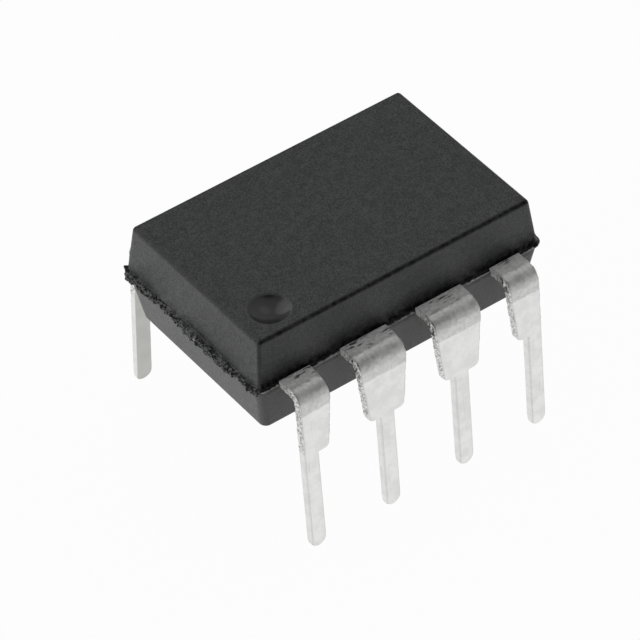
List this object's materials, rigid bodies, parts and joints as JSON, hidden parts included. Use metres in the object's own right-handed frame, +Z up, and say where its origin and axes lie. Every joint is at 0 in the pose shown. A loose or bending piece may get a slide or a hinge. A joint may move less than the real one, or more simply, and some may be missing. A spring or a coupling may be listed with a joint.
{
  "type": "dip integrated circuit chip",
  "caption": "Dual in-line chip: a moulded epoxy body above a row of bent, shouldered leads on each long side, with a die pad, die and bond wires sealed inside.",
  "frame": {"origin": "centre of the two rows of leads, on the seating plane where the lead shoulders rest on a board; the lead tips reach down to z = -3.36 mm", "axes": "+X along the body from lead 1 to lead 4, +Y from the row of leads 1 to 4 to the row of leads 5 to 8, +Z up through the marked top"},
  "size_m": [0.0098, 0.0086, 0.0071],
  "materials": {
    "resin": "fine matte grain",
    "tinned_lead": "satin tin plating",
    "frame_metal": "satin copper alloy",
    "silver_adhesive": "matte silver filled",
    "silicon": "polished",
    "gold_wire": "bright"
  },
  "bodies": {
    "root": {"body": "resin", "lead_1": "tinned_lead", "lead_2": "tinned_lead", "lead_3": "tinned_lead", "lead_4": "tinned_lead", "lead_5": "tinned_lead", "lead_6": "tinned_lead", "lead_7": "tinned_lead", "lead_8": "tinned_lead", "die_pad": "frame_metal", "die_attach": "silver_adhesive", "die": "silicon", "wire_1": "gold_wire", "wire_2": "gold_wire", "wire_3": "gold_wire", "wire_4": "gold_wire", "wire_5": "gold_wire", "wire_6": "gold_wire", "wire_7": "gold_wire", "wire_8": "gold_wire"}
  },
  "joints": []
}
